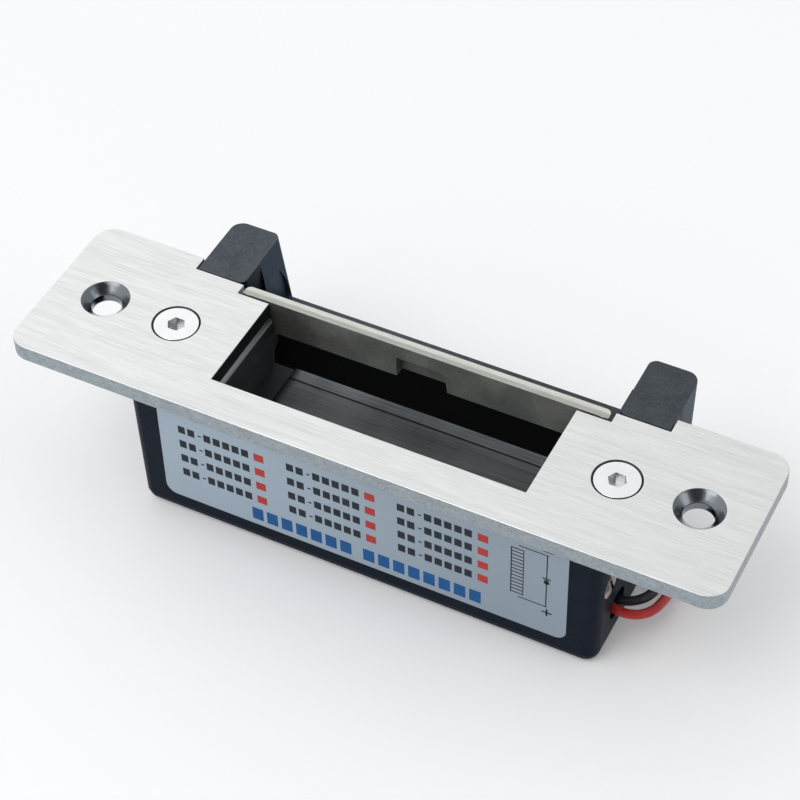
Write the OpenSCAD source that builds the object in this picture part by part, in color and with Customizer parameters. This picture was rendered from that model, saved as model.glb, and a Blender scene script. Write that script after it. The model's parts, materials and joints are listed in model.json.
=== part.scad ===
// Electric door strike with a swinging keeper, a solenoid lock and flying leads.
// Origin: midway between the two mounting holes, on the front face of the faceplate.
// +X along the plate, +Y towards the keeper and the horns, +Z out of the plate.

/* [Faceplate] */
// Length of the faceplate
plate_l = 124; // [110:1:160]
// Width of the faceplate
plate_w = 31; // [29:0.5:38]
// Thickness of the faceplate
plate_t = 3; // [2.5:0.1:3.6]
// Corner radius of the faceplate
plate_corner_r = 3.5; // [1:0.5:6]
// Distance between the two mounting holes
mount_spacing = 104.8; // [98:0.1:108]
// Diameter of a mounting hole
mount_hole_d = 5; // [4:0.1:6]
// Diameter of a mounting hole's countersink at the front face
mount_csk_d = 8.2; // [7.5:0.1:9.5]

/* [Latch pocket] */
// Length of the latch pocket
pocket_l = 55; // [44:0.5:58]
// Distance from the centre line to the pocket's front edge
pocket_front = 8.4; // [7.5:0.1:8.6]
// Distance from the centre line to the keeper's inner face
pocket_back = 11; // [10:0.1:12]
// Depth of the pocket below the front face
pocket_depth = 13.7; // [13:0.1:14.6]
// Thickness of the wear plate on the pocket floor
floor_t = 0.8; // [0.5:0.1:1]
// Length of bare casting left of the wear plate
floor_bare_l = 3.7; // [2:0.1:8]

/* [Body] */
// Length of the body and the horns at the plate
body_l = 84.6; // [82:0.2:90]
// Distance from the centre line to the body's front face
body_front = 11.7; // [11.4:0.1:13]
// Distance from the centre line to the back of the lower body
body_back = 17; // [16.6:0.1:20]
// Depth of the body below the plate
body_depth = 29; // [28.5:0.5:36]
// Corner radius of the body
body_corner_r = 2.2; // [1:0.1:3]
// Distance from the centre line to the back of the horns
lip_back = 26.1; // [25.6:0.1:34]
// Length of one horn at its top
horn_l = 8.7; // [7:0.05:9]
// Thickness of the ledge between the horns
lip_t = 3; // [2:0.1:5]
// Thickness of the bottom cover
cover_t = 1.2; // [0.8:0.1:1.6]

/* [Keeper] */
// Length of the keeper's bar
keeper_l = 65.4; // [62:0.2:66]
// Thickness of the keeper's bar
keeper_t = 1.9; // [1.5:0.1:2.2]
// Height of the keeper's bar
keeper_h = 7; // [5:0.1:8]
// Thickness of a keeper leg along the pivot
leg_t = 2.2; // [1.8:0.1:2.4]
// Diameter of the hinge pins
hinge_d = 2.6; // [2:0.1:3]
// Angle to which the keeper opens
keeper_open = 80; // [60:1:80]

/* [Solenoid] */
// Outside diameter of the taped coil
coil_d = 12.4; // [10:0.1:12.6]
// Length of the coil between its flanges
coil_l = 25.4; // [20:0.1:28]
// Diameter of the plunger
plunger_d = 6; // [4:0.1:6.4]
// Stroke of the plunger
stroke = 2.6; // [1.6:0.1:2.8]
// Thickness of the solenoid's frame
frame_t = 1.2; // [0.8:0.1:1.4]

/* [Lock lever] */
// Thickness of the lock lever
lever_t = 2; // [1.5:0.1:2.2]
// Distance from the lever's post to the plunger pin
lever_arm = 6.4; // [6:0.1:6.8]
// Diameter of the lever's post
post_d = 3; // [2:0.1:3.4]

/* [Label and leads] */
// Length of the label
label_l = 73; // [50:0.5:76]
// Height of the label
label_h = 21.5; // [14:0.5:22]
// Diameter of a lead
lead_d = 1.6; // [1.4:0.1:1.8]

/* [Hidden] */
$fn = 64;
eps = 0.02;
far = 30;

// clearances
notch_gap = 0.2;       // horn to plate
keeper_gap = 0.4;      // keeper to plate, all round
side_gap = 0.3;        // keeper to casting, sideways
run_gap = 0.05;        // pin to bore, radial
seat_gap = 0.1;        // cover or plate to its seat, sideways

// levels
z_under = -plate_t;
z_floor = -pocket_depth;
z_ledge = z_floor - 0.3;
z_web = z_floor - floor_t;
z_cavity = z_web - 1.5;
z_lip = z_ledge - lip_t;
z_bottom = z_under - body_depth;
z_cover = z_bottom + cover_t;
horn_top = -0.1;

// body
body_half = body_l / 2;
draft = 0.0245;
edge_x = 2;
edge_y = 1.5;
horn_in = body_half - horn_l;
horn_front = 12.9;
horn_slope = 0.146;
horn_corner_r = 1.2;
rib_corner_r = 1.6;
rib_corner_in = rib_corner_r - 0.05;
rib_front = 18.6;
rib_set = 0.15;
wall = 2.2;
cavity_front = body_front - wall;
cavity_back = body_back - 2;
cavity_left = body_half - 4.8;
cavity_right = body_half - 3.8;
cover_front = cavity_front + 0.4;
cover_back = cavity_back + 0.5;
cover_half = cavity_right + 0.4;
post_x = cavity_right - 4;
post_front = cavity_front - 1.9;
post_back = cavity_back - 2.1;
post_r = 2.2;
pocket_wall_in = 0.3;
pocket_half = pocket_l / 2 - pocket_wall_in;
pocket_edge_r = 0.8;

// faceplate screws (M4, countersunk)
face_screw_x = body_half - 3.35;
face_screw_d = 4;
face_screw_head = 7.4;
face_screw_csk = 8.1;
face_screw_l = 10;
hex_af = 2.7;
screw_top = -0.1;

// keeper
pivot_y = pocket_back + 1.2;
pivot_z = -12.2;
boss_r = 2.6;
leg_in = pocket_half + 1.8;
leg_out = leg_in + leg_t;
leg_slot_in = leg_in - side_gap;
leg_slot_out = leg_out + 0.7;
leg_back = 1.2;
tail_r = 9;
keeper_half = keeper_l / 2;
keeper_corner_r = 1;
sweep_r = 0.7 + norm([pocket_back + keeper_t - pivot_y, -pivot_z]);
pad_l = 14;
pad_t = 1;
notch_l = 8.8;
notch_top = -2.9;
hinge_len = body_half - leg_in - 0.3;

// keeper spring
kspring_r = 2.2;
kspring_wire = 0.3;
kspring_turns = 3;
kspring_pitch = 0.72;
kspring_x = leg_out + 0.35 + kspring_wire;
kspring_bay_r = 3.3;
kspring_bay_x = kspring_x + kspring_turns * kspring_pitch + kspring_wire + 0.4;

// solenoid
sol_y = -2.7;
sol_z = z_cavity - 7.2;
frame_left = -12;
coil_left = frame_left + frame_t + 1.2;
coil_right = coil_left + coil_l;
frame_right = coil_right + 1.2 + frame_t;
flange_r = coil_d / 2 + 0.3;
frame_y0 = sol_y - flange_r;
frame_y1 = sol_y + flange_r + 0.2;
frame_z0 = sol_z - 6.4;
frame_z1 = sol_z + 6.4;
tab_x = cavity_right - 0.2 - frame_t;
tab_top = -13.4;
core_x = 5.4;
plunger_end = core_x - stroke - 0.3;
plunger_tip = -26.6;
collar_x = -17.8;
collar_t = 1;
pspring_r = 3.8;
pspring_wire = 0.25;
end_screw_y = -7.2;
end_screw_z = -15.3;
end_screw_r = 2.7;
end_x = body_half + draft * end_screw_z;

// lock lever
swing_half = asin(stroke / 2 / lever_arm);
post_px = -22;
post_py = sol_y + lever_arm * cos(swing_half / 2) ;
lever_z = z_cavity - 1.2 - lever_t;
pin_x = post_px - stroke / 2;
pin_r = 1;
tail_front = pocket_back - 0.1;
nose_x = post_px + (leg_in + leg_out) / 2;
nose_y = tail_front - 0.35 - post_py;
tip_r = norm([post_px + leg_in, nose_y]);

// leads
lead_exit = [-3.6, -24.4];
lead_hole_r = 2.8;
lead_z = z_bottom + lead_d / 2;
red_y = -4.5;
black_y = -2.6;
hank_y = body_back + 8.2;
hank_half = 13;
hank_out = 7.2;
hank_in = hank_out - 2 * lead_d;
tie_t = 0.3;
tie_w = 2.5;
tip_l = 6;

// ---- shared shapes ----

// box between two corners
module box(a, b) {
  translate(a)
    cube(b - a);
}

// both ends of the strike
module both_ends() {
  children();
  mirror([1, 0, 0])
    children();
}

// round bar along X
module rod_x(x0, x1, y, z, r) {
  translate([x0, y, z])
    rotate([0, 90, 0])
      cylinder(h = x1 - x0, r = r);
}

// round bar along Z
module rod_z(z0, z1, x, y, r) {
  translate([x, y, z0])
    cylinder(h = z1 - z0, r = r);
}

// rectangle with round corners
module round_rect(l, w, r) {
  square([l - 2 * r, w], center = true);
  square([l, w - 2 * r], center = true);
  for (x = [-1, 1], y = [-1, 1])
    translate([x * (l / 2 - r), y * (w / 2 - r)])
      circle(r = r);
}

// profile given as [y, z], run along X
module along_x(x0, x1) {
  translate([x0, 0, 0])
    rotate([90, 0, 90])
      linear_extrude(x1 - x0)
        children();
}

// profile given as [x, z], run along Y from y0 to y1
module along_y(y0, y1) {
  translate([0, y1, 0])
    rotate([90, 0, 0])
      linear_extrude(y1 - y0)
        children();
}

// unit vector
function unit(v) = v / norm(v);

// direction of a route at point i
function heading(p, i) = unit(p[min(i + 1, len(p) - 1)] - p[max(i - 1, 0)]);

// one ring of a swept round section
function ring(c, d, up, r, n) =
  let (s = unit(cross(d, up)), t = cross(s, d))
  [for (k = [0 : n - 1]) c + r * (cos(360 * k / n) * s + sin(360 * k / n) * t)];

// closed round tube along a route
module sweep(p, r, up = [0, 0, 1], n = 8) {
  m = len(p);
  pts = [for (i = [0 : m - 1]) each ring(p[i], heading(p, i), up, r, n)];
  sides = [for (i = [0 : m - 2], k = [0 : n - 1])
    let (a = i * n + k, b = i * n + (k + 1) % n)
    each [[a, b, b + n], [a, b + n, a + n]]];
  ends = [[for (k = [0 : n - 1]) n - 1 - k], [for (k = [0 : n - 1]) (m - 1) * n + k]];
  polyhedron(points = pts, faces = concat(sides, ends), convexity = 10);
}

// points of a coil along +X, centred on the axis through [x, y, z]
function coil_points(x, y, z, r, pitch, turns, start = 0, per = 16) =
  [for (i = [0 : turns * per])
    [x + pitch * i / per, y + r * cos(start + 360 * i / per), z + r * sin(start + 360 * i / per)]];

// ---- body ----

// outline of the casting at one level
module body_layer(z, dx, dy) {
  x = body_half + draft * z - dx;
  y0 = -body_front + dy;
  y1 = lip_back - dy;
  translate([0, (y0 + y1) / 2, z])
    linear_extrude(eps)
      round_rect(2 * x, y1 - y0, body_corner_r);
}

// outside of the casting before anything is cut from it
module body_blank() {
  hull() {
    body_layer(horn_top - eps, 0, 0);
    for (a = [0, 30, 60, 90])
      body_layer(z_bottom + edge_x * (1 - cos(a)), edge_x * (1 - sin(a)), edge_y * (1 - sin(a)));
  }
}

// half the space between the horns' sloping ribs at one level
function rib_half(z) = horn_in + rib_set + horn_slope * z;

// space between the horns: upright sides first, then sloping ribs
module lip_gap() {
  top = 1;
  box([-horn_in, pocket_back - keeper_gap - 0.1, z_ledge], [horn_in, rib_front, top]);
  along_y(rib_front - eps, lip_back + 1)
    polygon([[-rib_half(top), top], [rib_half(top), top], [rib_half(z_ledge), z_ledge],
      [-rib_half(z_ledge), z_ledge]]);
}

// rounding of the horn's front inner corner
module horn_corner() {
  translate([horn_in, horn_front, z_under])
    linear_extrude(far)
      difference() {
        translate([-1, -1])
          square(1 + horn_corner_r);
        translate([horn_corner_r, horn_corner_r])
          circle(r = horn_corner_r);
      }
}

// rounding of the horn's rear inner corner, which leans with the rib
module rib_corner() {
  intersection() {
    translate([rib_half(0), lip_back, 0])
      rotate([0, atan(horn_slope), 0])
        translate([0, 0, -far])
          linear_extrude(2 * far)
            difference() {
              translate([-1, -rib_corner_r])
                square(1 + rib_corner_r);
              translate([rib_corner_in, -rib_corner_in])
                circle(r = rib_corner_r);
            }
    box([0, 0, z_ledge], [far * 2, lip_back + 2, 1]);
  }
}

// room for the keeper's bar and legs through the whole swing
module keeper_sweep() {
  half = keeper_half + side_gap;
  intersection() {
    rod_x(-half, half, pivot_y, pivot_z, sweep_r);
    translate([0, pivot_y, pivot_z])
      rotate([-keeper_open, 0, 0])
        box([-far * 2, -far, -1], [far * 2, leg_back + pad_t + 0.4, far]);
    box([-far * 2, pocket_back - keeper_gap - 0.1, z_ledge], [far * 2, lip_back + 1, 1]);
  }
}

// rounded upper edge of a pocket end wall
module pocket_edge() {
  c = [pocket_half + pocket_edge_r, z_under - pocket_edge_r];
  along_y(-pocket_front, pocket_back)
    difference() {
      translate([pocket_half - 1, c[1]])
        square([1 + pocket_edge_r, 2 * pocket_edge_r]);
      translate(c)
        circle(r = pocket_edge_r);
    }
}

module housing() {
  color([0.11, 0.13, 0.16])
  difference() {
    body_blank();
    // below the ledge, behind the lower body
    box([-far * 2, body_back, z_bottom - 1], [far * 2, lip_back + 1, z_lip]);
    // seat of the faceplate
    box([-far * 2, -far, z_under], [far * 2, horn_front, 1]);
    lip_gap();
    keeper_sweep();
    both_ends() {
      horn_corner();
      rib_corner();
      pocket_edge();
      // hinge pin
      rod_x(leg_slot_in - 1, body_half + 1, pivot_y, pivot_z, hinge_d / 2);
      // faceplate screw
      rod_z(z_under - face_screw_l, 1, face_screw_x, 0, face_screw_d / 2);
    }
    // latch pocket and the seat of its wear plate
    box([-pocket_half, -pocket_front + 0.2, z_floor], [pocket_half, pocket_back + 0.1, 1]);
    box([-pocket_half + floor_bare_l, -pocket_front + 0.2, z_web], [pocket_half, pocket_back, 1]);
    // slots for the legs, and for the tail of the left one
    box([-leg_slot_out, pivot_y - tail_r - 0.6, z_cavity - 1],
      [-leg_slot_in, cavity_back, pivot_z + boss_r + 0.4]);
    box([leg_slot_in, pivot_y - boss_r - 0.4, z_cavity - 1],
      [leg_slot_out, cavity_back, pivot_z + boss_r + 0.4]);
    // bay of the keeper spring
    rod_x(leg_slot_out - 1, kspring_bay_x, pivot_y, pivot_z, kspring_bay_r);
    // cavity for the lock, open below
    difference() {
      box([-cavity_left, -cavity_front, z_bottom - 1], [cavity_right, cavity_back, z_cavity]);
      for (x = [-cavity_left + 2.4, post_x], y = [-post_front, post_back])
        rod_z(z_cover, z_cavity + 1, x, y, post_r);
    }
    for (x = [-cavity_left + 2.4, post_x], y = [-post_front, post_back])
      rod_z(z_cover - 1, z_cover + 6, x, y, 1.25);
    // rebate of the bottom cover
    box([-cover_half, -cover_front, z_bottom - 1], [cover_half, cover_back, z_cover]);
    // bay of the frame's tab
    box([tab_x - 2.4, -cavity_front, z_cavity - 1], [cavity_right, -face_screw_d / 2 - 2, tab_top + 0.4]);
    rod_x(tab_x, body_half + 1, end_screw_y, end_screw_z, 1.55);
    rod_x(end_x - 1.6, body_half + 1, end_screw_y, end_screw_z, end_screw_r + 0.05);
    // leads
    rod_x(cavity_right - 1, body_half + 1, lead_exit[0], lead_exit[1], lead_hole_r);
    // lever post
    rod_z(z_cavity - 1, z_web + eps, post_px, post_py, post_d / 2);
  }
}

module faceplate() {
  color([0.82, 0.82, 0.8])
  difference() {
    translate([0, 0, -plate_t])
      linear_extrude(plate_t)
        difference() {
          round_rect(plate_l, plate_w, plate_corner_r);
          // latch opening
          translate([-pocket_l / 2, -pocket_front])
            square([pocket_l, plate_w]);
          // room for the keeper
          translate([-keeper_half - keeper_gap - 0.3, pocket_back - keeper_gap])
            square([2 * (keeper_half + keeper_gap + 0.3), plate_w]);
          // room for the horns
          translate([-body_half - notch_gap - 0.05, horn_front - notch_gap])
            square([2 * (body_half + notch_gap + 0.05), plate_w]);
        }
    for (x = [-mount_spacing / 2, mount_spacing / 2])
      countersunk_hole(x, mount_hole_d, mount_csk_d);
    for (x = [-face_screw_x, face_screw_x])
      countersunk_hole(x, face_screw_d + 0.3, face_screw_csk);
  }
}

// through hole with a 90 degree countersink
module countersunk_hole(x, d, csk) {
  rod_z(-plate_t - 1, 1, x, 0, d / 2);
  translate([x, 0, -(csk - d) / 2])
    cylinder(h = (csk - d) / 2 + eps, r1 = d / 2, r2 = csk / 2 + eps);
}

module faceplate_screws() {
  color([0.88, 0.88, 0.88])
  for (x = [-face_screw_x, face_screw_x])
    translate([x, 0, 0])
      difference() {
        union() {
          rod_z(z_under - face_screw_l + 0.5, screw_top, 0, 0, face_screw_d / 2);
          translate([0, 0, screw_top - 0.1 - (face_screw_head - face_screw_d) / 2])
            cylinder(h = (face_screw_head - face_screw_d) / 2, r1 = face_screw_d / 2, r2 = face_screw_head / 2);
          rod_z(screw_top - 0.1, screw_top, 0, 0, face_screw_head / 2);
        }
        translate([0, 0, -1.8])
          cylinder(h = 3, r = hex_af / 2 / cos(30), $fn = 6);
      }
}

module pocket_floor() {
  color([0.62, 0.64, 0.64])
  difference() {
    box([-pocket_half + floor_bare_l + seat_gap, -pocket_front + 0.2 + seat_gap, z_web],
      [pocket_half - seat_gap, pocket_back - seat_gap, z_floor]);
    // shallow joggle near the rear edge
    box([-far * 2, 8.3, z_floor - 0.12], [far * 2, 8.6, z_floor + 1]);
  }
}

module bottom_cover() {
  color([0.2, 0.21, 0.22])
  difference() {
    box([-cover_half + seat_gap, -cover_front + seat_gap, z_bottom],
      [cover_half - seat_gap, cover_back - seat_gap, z_cover]);
    for (x = [-cavity_left + 2.4, post_x], y = [-post_front, post_back]) {
      rod_z(z_bottom - 1, z_cover + 1, x, y, 1.4);
      translate([x, y, z_bottom - eps])
        cylinder(h = 0.9, r1 = 2.3, r2 = 1.4);
    }
  }
}

module cover_screws() {
  color([0.55, 0.56, 0.58])
  for (x = [-cavity_left + 2.4, post_x], y = [-post_front, post_back])
    difference() {
      union() {
        rod_z(z_bottom + 0.05, z_cover + 5.5, x, y, 1.25);
        translate([x, y, z_bottom + 0.05])
          cylinder(h = 0.85, r1 = 2.2, r2 = 1.25);
      }
      box([x - 0.25, y - 3, z_bottom - 1], [x + 0.25, y + 3, z_bottom + 0.55]);
    }
}

module end_screw() {
  color([0.86, 0.85, 0.83])
  difference() {
    union() {
      rod_x(tab_x - 2, end_x - 1, end_screw_y, end_screw_z, 1.5);
      rod_x(end_x - 1.6, end_x - 0.1, end_screw_y, end_screw_z, end_screw_r);
    }
    translate([end_x - 0.1, end_screw_y, end_screw_z])
      rotate([20, 0, 0])
        box([-0.7, -0.35, -4], [1, 0.35, 4]);
  }
}

module product_label() {
  color([0.66, 0.72, 0.78])
  translate([0, -body_front, z_under - 3.2 - label_h / 2])
    rotate([90, 0, 0])
      linear_extrude(0.12)
        round_rect(label_l, label_h, 2);
}

module hinge_pins() {
  color([0.7, 0.7, 0.7])
  both_ends()
    rod_x(leg_in, leg_in + hinge_len, pivot_y, pivot_z, hinge_d / 2);
}

// ---- keeper ----

// side view of one leg
module leg_profile(tail) {
  y0 = pocket_back - pivot_y;
  translate([pivot_y, pivot_z]) {
    circle(r = boss_r);
    translate([y0, 0])
      square([leg_back - y0, -pivot_z - keeper_h + 1]);
    if (tail)
      translate([y0 + 0.1, -tail_r])
        square([leg_back - y0 - 0.1, tail_r]);
  }
}

module keeper() {
  color([0.45, 0.44, 0.41])
  difference() {
    union() {
      // bar
      translate([0, 0, -keeper_h])
        linear_extrude(keeper_h) {
          translate([-keeper_half, pocket_back])
            square([keeper_l, keeper_t - keeper_corner_r]);
          translate([-keeper_half + keeper_corner_r, pocket_back])
            square([keeper_l - 2 * keeper_corner_r, keeper_t]);
          for (s = [-1, 1])
            translate([s * (keeper_half - keeper_corner_r), pocket_back + keeper_t - keeper_corner_r])
              circle(r = keeper_corner_r);
        }
      // pad behind the notch
      box([-pad_l / 2, pocket_back + keeper_t - eps, -keeper_h],
        [pad_l / 2, pocket_back + keeper_t + pad_t, -1.5]);
      along_x(-leg_out, -leg_in)
        leg_profile(true);
      along_x(leg_in, leg_out)
        leg_profile(false);
    }
    // notch in the lower edge
    along_y(pocket_back - 1, pocket_back + keeper_t)
      polygon([[-notch_l / 2, -keeper_h - 1], [-notch_l / 2, notch_top], [notch_l / 2 - 0.8, notch_top],
        [notch_l / 2, notch_top - 1.2], [notch_l / 2 + 0.4, -keeper_h - 1]]);
    rod_x(-far * 2, far * 2, pivot_y, pivot_z, hinge_d / 2 + run_gap);
  }
}

module keeper_spring() {
  color([0.6, 0.6, 0.6])
  sweep(concat(
      [[kspring_x - 0.2, pivot_y + kspring_r, pivot_z + 3.6],
       [kspring_x - 0.1, pivot_y + kspring_r, pivot_z + 1.6]],
      coil_points(kspring_x, pivot_y, pivot_z, kspring_r, kspring_pitch, kspring_turns, 0, 16)),
    kspring_wire, [1, 0, 0], 6);
}

// ---- solenoid ----

module solenoid_frame() {
  color([0.68, 0.68, 0.66])
  difference() {
    union() {
      box([frame_left, frame_y0, frame_z0], [frame_left + frame_t, frame_y1 + frame_t, frame_z1]);
      box([frame_right - frame_t, frame_y0, frame_z0], [frame_right, frame_y1 + frame_t, frame_z1]);
      box([frame_left, frame_y1, frame_z0], [tab_x + frame_t, frame_y1 + frame_t, frame_z1]);
      box([tab_x, frame_y0, frame_z0], [tab_x + frame_t, frame_y1 + frame_t, frame_z1]);
      box([tab_x, frame_y0, frame_z1 - 1], [tab_x + frame_t, end_screw_y + 3, tab_top]);
    }
    rod_x(frame_left - 1, frame_left + frame_t + 1, sol_y, sol_z, plunger_d / 2 + 0.35);
    rod_x(frame_right - frame_t - 1, frame_right + 1, sol_y, sol_z, 2);
    rod_x(tab_x - 1, tab_x + frame_t + 1, end_screw_y, end_screw_z, 1.5);
    rod_x(tab_x - 1, tab_x + frame_t + 1, lead_exit[0], lead_exit[1], lead_hole_r + 0.4);
  }
}

module coil_bobbin() {
  color([0.85, 0.84, 0.78])
  difference() {
    union() {
      rod_x(frame_left + frame_t, coil_left, sol_y, sol_z, flange_r);
      rod_x(coil_right, frame_right - frame_t, sol_y, sol_z, flange_r);
      rod_x(coil_left - eps, coil_right + eps, sol_y, sol_z, plunger_d / 2 + 1);
    }
    rod_x(frame_left, frame_right, sol_y, sol_z, plunger_d / 2 + 0.3);
  }
}

// sleeve along X
module sleeve_x(x0, x1, r0, r1) {
  difference() {
    rod_x(x0, x1, sol_y, sol_z, r1);
    rod_x(x0 - 1, x1 + 1, sol_y, sol_z, r0);
  }
}

module coil_winding() {
  color([0.7, 0.4, 0.2])
  sleeve_x(coil_left, coil_right, plunger_d / 2 + 1, coil_d / 2 - 0.3);
}

module coil_tape() {
  color([0.85, 0.75, 0.3])
  sleeve_x(coil_left, coil_right, coil_d / 2 - 0.3, coil_d / 2);
}

module fixed_core() {
  color([0.6, 0.6, 0.6])
  union() {
    rod_x(core_x, frame_right - frame_t, sol_y, sol_z, plunger_d / 2 + 0.3);
    rod_x(frame_right - frame_t - eps, frame_right + 0.8, sol_y, sol_z, 1.95);
  }
}

module plunger() {
  color([0.66, 0.66, 0.66])
  difference() {
    union() {
      rod_x(plunger_tip, plunger_end, sol_y, sol_z, plunger_d / 2);
      rod_x(collar_x, collar_x + collar_t, sol_y, sol_z, plunger_d / 2 + 1.4);
    }
    rod_z(sol_z - far, sol_z + far, pin_x, sol_y, pin_r);
  }
}

module plunger_pin() {
  color([0.75, 0.75, 0.75])
  rod_z(sol_z - plunger_d / 2, lever_z + lever_t + 0.5, pin_x, sol_y, pin_r);
}

module plunger_spring() {
  color([0.6, 0.6, 0.6])
  sweep(coil_points(collar_x + collar_t + pspring_wire + 0.02, sol_y, sol_z, pspring_r,
      (frame_left - collar_x - collar_t - 2 * pspring_wire - 0.04) / 5, 5, 0, 16),
    pspring_wire, [1, 0, 0], 6);
}

// ---- lock lever ----

module lock_lever() {
  color([0.72, 0.7, 0.62])
  translate([post_px, post_py, lever_z])
    rotate([0, 0, -2 * swing_half])
      difference() {
        union() {
          cylinder(h = lever_t, r = post_d / 2 + 1.7);
          // nose arm, drawn where it holds the tail, with its tip round about the post
          intersection() {
            linear_extrude(lever_t)
              polygon([[-2.2, -0.6], [-nose_x, 3.4], [-nose_x, nose_y], [2.5 - nose_x, nose_y + 1], [2, 2.2]]);
            cylinder(h = lever_t, r = tip_r);
          }
          // slotted arm
          rotate([0, 0, swing_half])
            box([-2.4, -lever_arm - 2.6, 0], [2.4, 0, lever_t]);
        }
        rod_z(-1, lever_t + 1, 0, 0, post_d / 2 + run_gap);
        rotate([0, 0, swing_half])
          translate([-pin_r - 0.25, -lever_arm - 1.5, -1])
            cube([2 * pin_r + 0.5, 3, lever_t + 2]);
      }
}

module lever_post() {
  color([0.7, 0.7, 0.7])
  union() {
    difference() {
      rod_z(lever_z - 1.4, z_web - 0.1, post_px, post_py, post_d / 2);
      difference() {
        rod_z(lever_z - 0.7, lever_z - 0.2, post_px, post_py, post_d / 2 + 1);
        rod_z(lever_z - 1, lever_z, post_px, post_py, post_d / 2 - 0.4);
      }
    }
    rod_z(lever_z + lever_t + 0.1, z_cavity, post_px, post_py, post_d / 2 + 1);
  }
}

module lever_clip() {
  color([0.3, 0.3, 0.32])
  difference() {
    rod_z(lever_z - 0.65, lever_z - 0.25, post_px, post_py, post_d / 2 + 1.2);
    rod_z(lever_z - 2, lever_z + 1, post_px, post_py, post_d / 2 - 0.35);
    box([post_px - 0.8, post_py, lever_z - 2], [post_px + 0.8, post_py + 6, lever_z + 1]);
  }
}

// ---- wiring ----

module suppression_diode() {
  color([0.15, 0.15, 0.16])
  union() {
    rod_x(24, 29, 1, z_cavity - 3, 1.3);
    rod_x(frame_right + 1, 35, 1, z_cavity - 3, 0.35);
  }
}

module splice_sleeves() {
  color([0.12, 0.12, 0.12])
  for (y = [red_y, black_y])
    rod_x(21.5, 29, y, lead_exit[1], 0.9);
}

red_route = [[29, red_y, -24.4], [33, red_y, -24.4], [37, red_y, -24.4], [41, -4.8, -24.4],
  [43, -5, -24.5], [44.8, -4.5, -24.7], [46.2, -3.3, -25.1], [47.1, -1.6, -25.6], [47.5, 0.6, -26.3],
  [47.6, 3.5, -27.4], [47.5, 6.8, -29], [47.2, 10, -30.4], [46.6, 13.4, -31.15], [45.4, 16.2, -31.2],
  [43.2, 18.4, -31.2], [40, 19.3, -31.2], [36, 19.3, -31.2], [31, 19, -31.2], [26, 18.8, -31.1],
  [22, 18.8, -31], [18.2, 18.8, -30.9]];
black_route = [[29, black_y, -24.4], [33, black_y, -24.4], [37, black_y, -24.4], [41, -2.9, -24.4],
  [42.6, -2.8, -24.4], [44, -2, -24.5], [45.1, -0.7, -24.7], [45.7, 1, -25.1], [45.9, 3.2, -25.8],
  [45.8, 6.2, -27.2], [45.6, 9.4, -29], [45.3, 12.6, -30.1], [44.8, 15.8, -29.6],
  [43.8, 18.4, -29.4], [42, 20.6, -29.6], [39, 22, -30.6], [35, 22.4, -31.2], [31, 21.8, -31.2],
  [27, 21, -31.1], [23, 20.5, -31], [19.6, 20.4, -30.9]];
red_tail = [[17.8, 31.6, -29.4], [20, 31.6, -30], [23, 31.5, -30.8], [26, 31.2, -31.2],
  [30, 30.4, -31.2], [34, 29, -31.2]];
black_tail = [[19.4, 30, -29.1], [21.4, 29.9, -29.6], [24, 29.5, -30.6], [27, 28.8, -31.2],
  [31, 27.5, -31.2], [35, 25.8, -31.2]];

module lead_red() {
  color([0.75, 0.1, 0.1])
  union() {
    sweep(red_route, lead_d / 2);
    sweep(red_tail, lead_d / 2);
  }
}

module lead_black() {
  color([0.06, 0.06, 0.07])
  union() {
    sweep(black_route, lead_d / 2);
    sweep(black_tail, lead_d / 2);
  }
}

// tinned end that carries on from a route
module lead_tip(p) {
  n = len(p);
  d = unit(p[n - 1] - p[n - 2]);
  sweep([p[n - 1], p[n - 1] + tip_l / 2 * d, p[n - 1] + tip_l * d], lead_d / 2 - 0.3);
}

module lead_tips() {
  color([0.8, 0.78, 0.72])
  union() {
    lead_tip(red_tail);
    lead_tip(black_tail);
  }
}

// outline of the hank
module hank_outline(r) {
  square([2 * hank_half, 2 * r], center = true);
  for (s = [-1, 1])
    translate([s * hank_half, 0])
      circle(r = r);
}

module lead_hank() {
  color([0.3, 0.08, 0.08])
  translate([0, hank_y, z_bottom + tie_t])
    linear_extrude(2 * lead_d)
      difference() {
        hank_outline(hank_out);
        hank_outline(hank_in);
      }
}

module lead_tie() {
  color([0.1, 0.1, 0.1])
  along_x(-tie_w / 2, tie_w / 2)
    translate([hank_y, z_bottom + tie_t + lead_d])
      difference() {
        square([2 * (hank_out + tie_t), 2 * (lead_d + tie_t)], center = true);
        square([2 * hank_out, 2 * lead_d], center = true);
      }
}

faceplate();
faceplate_screws();
housing();
pocket_floor();
bottom_cover();
cover_screws();
end_screw();
product_label();
hinge_pins();
keeper();
keeper_spring();
solenoid_frame();
coil_bobbin();
coil_winding();
coil_tape();
fixed_core();
plunger();
plunger_pin();
plunger_spring();
lock_lever();
lever_post();
lever_clip();
suppression_diode();
splice_sleeves();
lead_red();
lead_black();
lead_hank();
lead_tie();
lead_tips();
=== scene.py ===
"""Looks of an electric door strike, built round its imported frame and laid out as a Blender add-on."""

import json
from math import cos, pi, radians, sin

import bmesh
import bpy
from bpy.props import FloatProperty, FloatVectorProperty, PointerProperty
from mathutils import Matrix, Vector


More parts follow.
